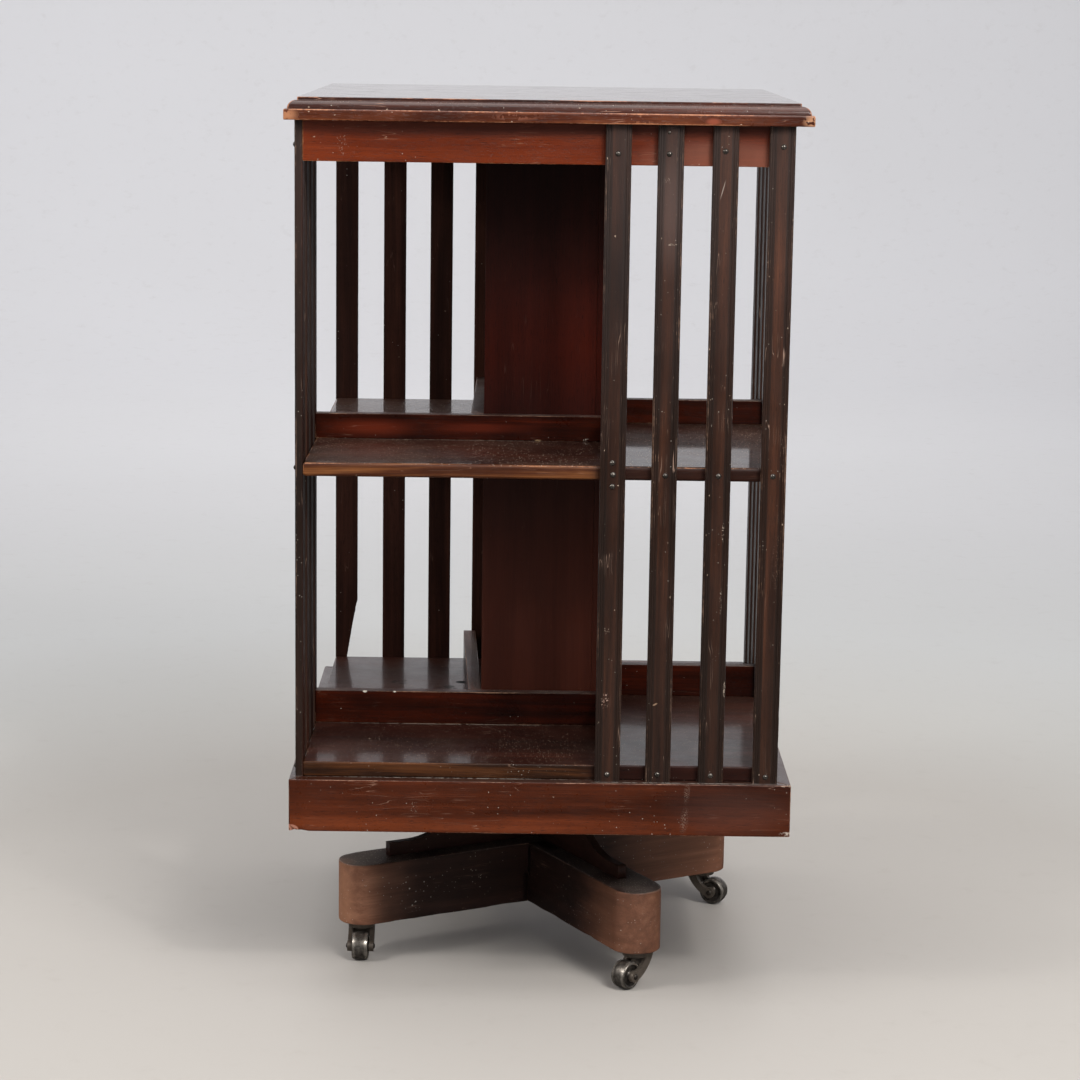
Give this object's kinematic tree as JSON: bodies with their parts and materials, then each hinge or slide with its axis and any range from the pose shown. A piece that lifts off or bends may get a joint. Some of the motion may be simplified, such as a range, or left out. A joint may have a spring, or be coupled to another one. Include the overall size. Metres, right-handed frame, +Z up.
{
  "type": "revolving bookcase",
  "caption": "Square revolving bookcase: an open slatted case with shelves that turns on a post above a cross foot with swivel casters",
  "frame": {"origin": "on the floor, under the axis that the case turns on, at the middle of the plan", "axes": "+Z up along the turning axis; -Y is the front face of the case at rest; +X to the right seen from the front"},
  "size_m": [0.4868, 0.4868, 0.8663],
  "materials": {
    "top_wood": "dark polished mahogany, worn edges",
    "frieze_wood": "polished red mahogany",
    "slat_wood": "dark stained mahogany, satin, scratched",
    "shelf_wood": "dark mahogany, semi-gloss, dusty",
    "plinth_wood": "polished red mahogany with dark streaks",
    "core_wood": "dark red mahogany, satin",
    "stop_wood": "dark red mahogany, polished",
    "foot_wood": "stained hardwood, worn and dusty",
    "stud_iron": "blackened round heads",
    "fitting_iron": "dark iron, turned",
    "caster_iron": "dark cast iron",
    "wheel_iron": "cast iron with a worn bright tread"
  },
  "bodies": {
    "base": {"foot_bar_long": "foot_wood", "foot_bar_cross": "foot_wood", "bearers": "foot_wood", "pivot_post": "fitting_iron", "base_screws": "fitting_iron", "caster_stems": "caster_iron"},
    "case": {"top_board": "top_wood", "frieze_front": "frieze_wood", "frieze_right": "frieze_wood", "frieze_back": "frieze_wood", "frieze_left": "frieze_wood", "middle_shelf": "shelf_wood", "bottom_board": "shelf_wood", "plinth_front": "plinth_wood", "plinth_right": "plinth_wood", "plinth_back": "plinth_wood", "plinth_left": "plinth_wood", "slat_front_1": "slat_wood", "slat_front_2": "slat_wood", "slat_front_3": "slat_wood", "slat_front_4": "slat_wood", "slat_right_1": "slat_wood", "slat_right_2": "slat_wood", "slat_right_3": "slat_wood", "slat_right_4": "slat_wood", "slat_back_1": "slat_wood", "slat_back_2": "slat_wood", "slat_back_3": "slat_wood", "slat_back_4": "slat_wood", "slat_left_1": "slat_wood", "slat_left_2": "slat_wood", "slat_left_3": "slat_wood", "slat_left_4": "slat_wood", "core_panel_front": "core_wood", "core_panel_right": "core_wood", "core_panel_back": "core_wood", "core_panel_left": "core_wood", "book_stop_upper_front": "stop_wood", "book_stop_upper_right": "stop_wood", "book_stop_upper_back": "stop_wood", "book_stop_upper_left": "stop_wood", "book_stop_lower_front": "stop_wood", "book_stop_lower_right": "stop_wood", "book_stop_lower_back": "stop_wood", "book_stop_lower_left": "stop_wood", "slat_studs": "stud_iron", "pivot_cup": "fitting_iron", "guide_collar": "fitting_iron"},
    "caster_front": {"caster_fork_front": "caster_iron", "caster_axle_front": "caster_iron"},
    "wheel_front": {"caster_wheel_front": "wheel_iron"},
    "caster_right": {"caster_fork_right": "caster_iron", "caster_axle_right": "caster_iron"},
    "wheel_right": {"caster_wheel_right": "wheel_iron"},
    "caster_back": {"caster_fork_back": "caster_iron", "caster_axle_back": "caster_iron"},
    "wheel_back": {"caster_wheel_back": "wheel_iron"},
    "caster_left": {"caster_fork_left": "caster_iron", "caster_axle_left": "caster_iron"},
    "wheel_left": {"caster_wheel_left": "wheel_iron"}
  },
  "joints": [
    {"name": "case_spin", "type": "hinge", "parent": "base", "child": "case", "pos_m": [0, 0, 0.5], "axis": [0, 0, 1], "continuous": true},
    {"name": "swivel_front", "type": "hinge", "parent": "base", "child": "caster_front", "pos_m": [0.09717, -0.17823, 0.034], "axis": [0, 0, 1], "continuous": true},
    {"name": "swivel_right", "type": "hinge", "parent": "base", "child": "caster_right", "pos_m": [0.17823, 0.09717, 0.034], "axis": [0, 0, 1], "continuous": true},
    {"name": "swivel_back", "type": "hinge", "parent": "base", "child": "caster_back", "pos_m": [-0.09717, 0.17823, 0.034], "axis": [0, 0, 1], "continuous": true},
    {"name": "swivel_left", "type": "hinge", "parent": "base", "child": "caster_left", "pos_m": [-0.17823, -0.09717, 0.034], "axis": [0, 0, 1], "continuous": true},
    {"name": "roll_front", "type": "hinge", "parent": "caster_front", "child": "wheel_front", "pos_m": [0.08747, -0.18901, 0.0143], "axis": [0.7431, -0.6691, 0], "continuous": true},
    {"name": "roll_right", "type": "hinge", "parent": "caster_right", "child": "wheel_right", "pos_m": [0.19103, 0.09037, 0.0143], "axis": [0.4695, 0.8829, 0], "continuous": true},
    {"name": "roll_back", "type": "hinge", "parent": "caster_back", "child": "wheel_back", "pos_m": [-0.09037, 0.19103, 0.0143], "axis": [-0.8829, 0.4695, 0], "continuous": true},
    {"name": "roll_left", "type": "hinge", "parent": "caster_left", "child": "wheel_left", "pos_m": [-0.17848, -0.11167, 0.0143], "axis": [0.9998, -0.0175, 0], "continuous": true}
  ]
}
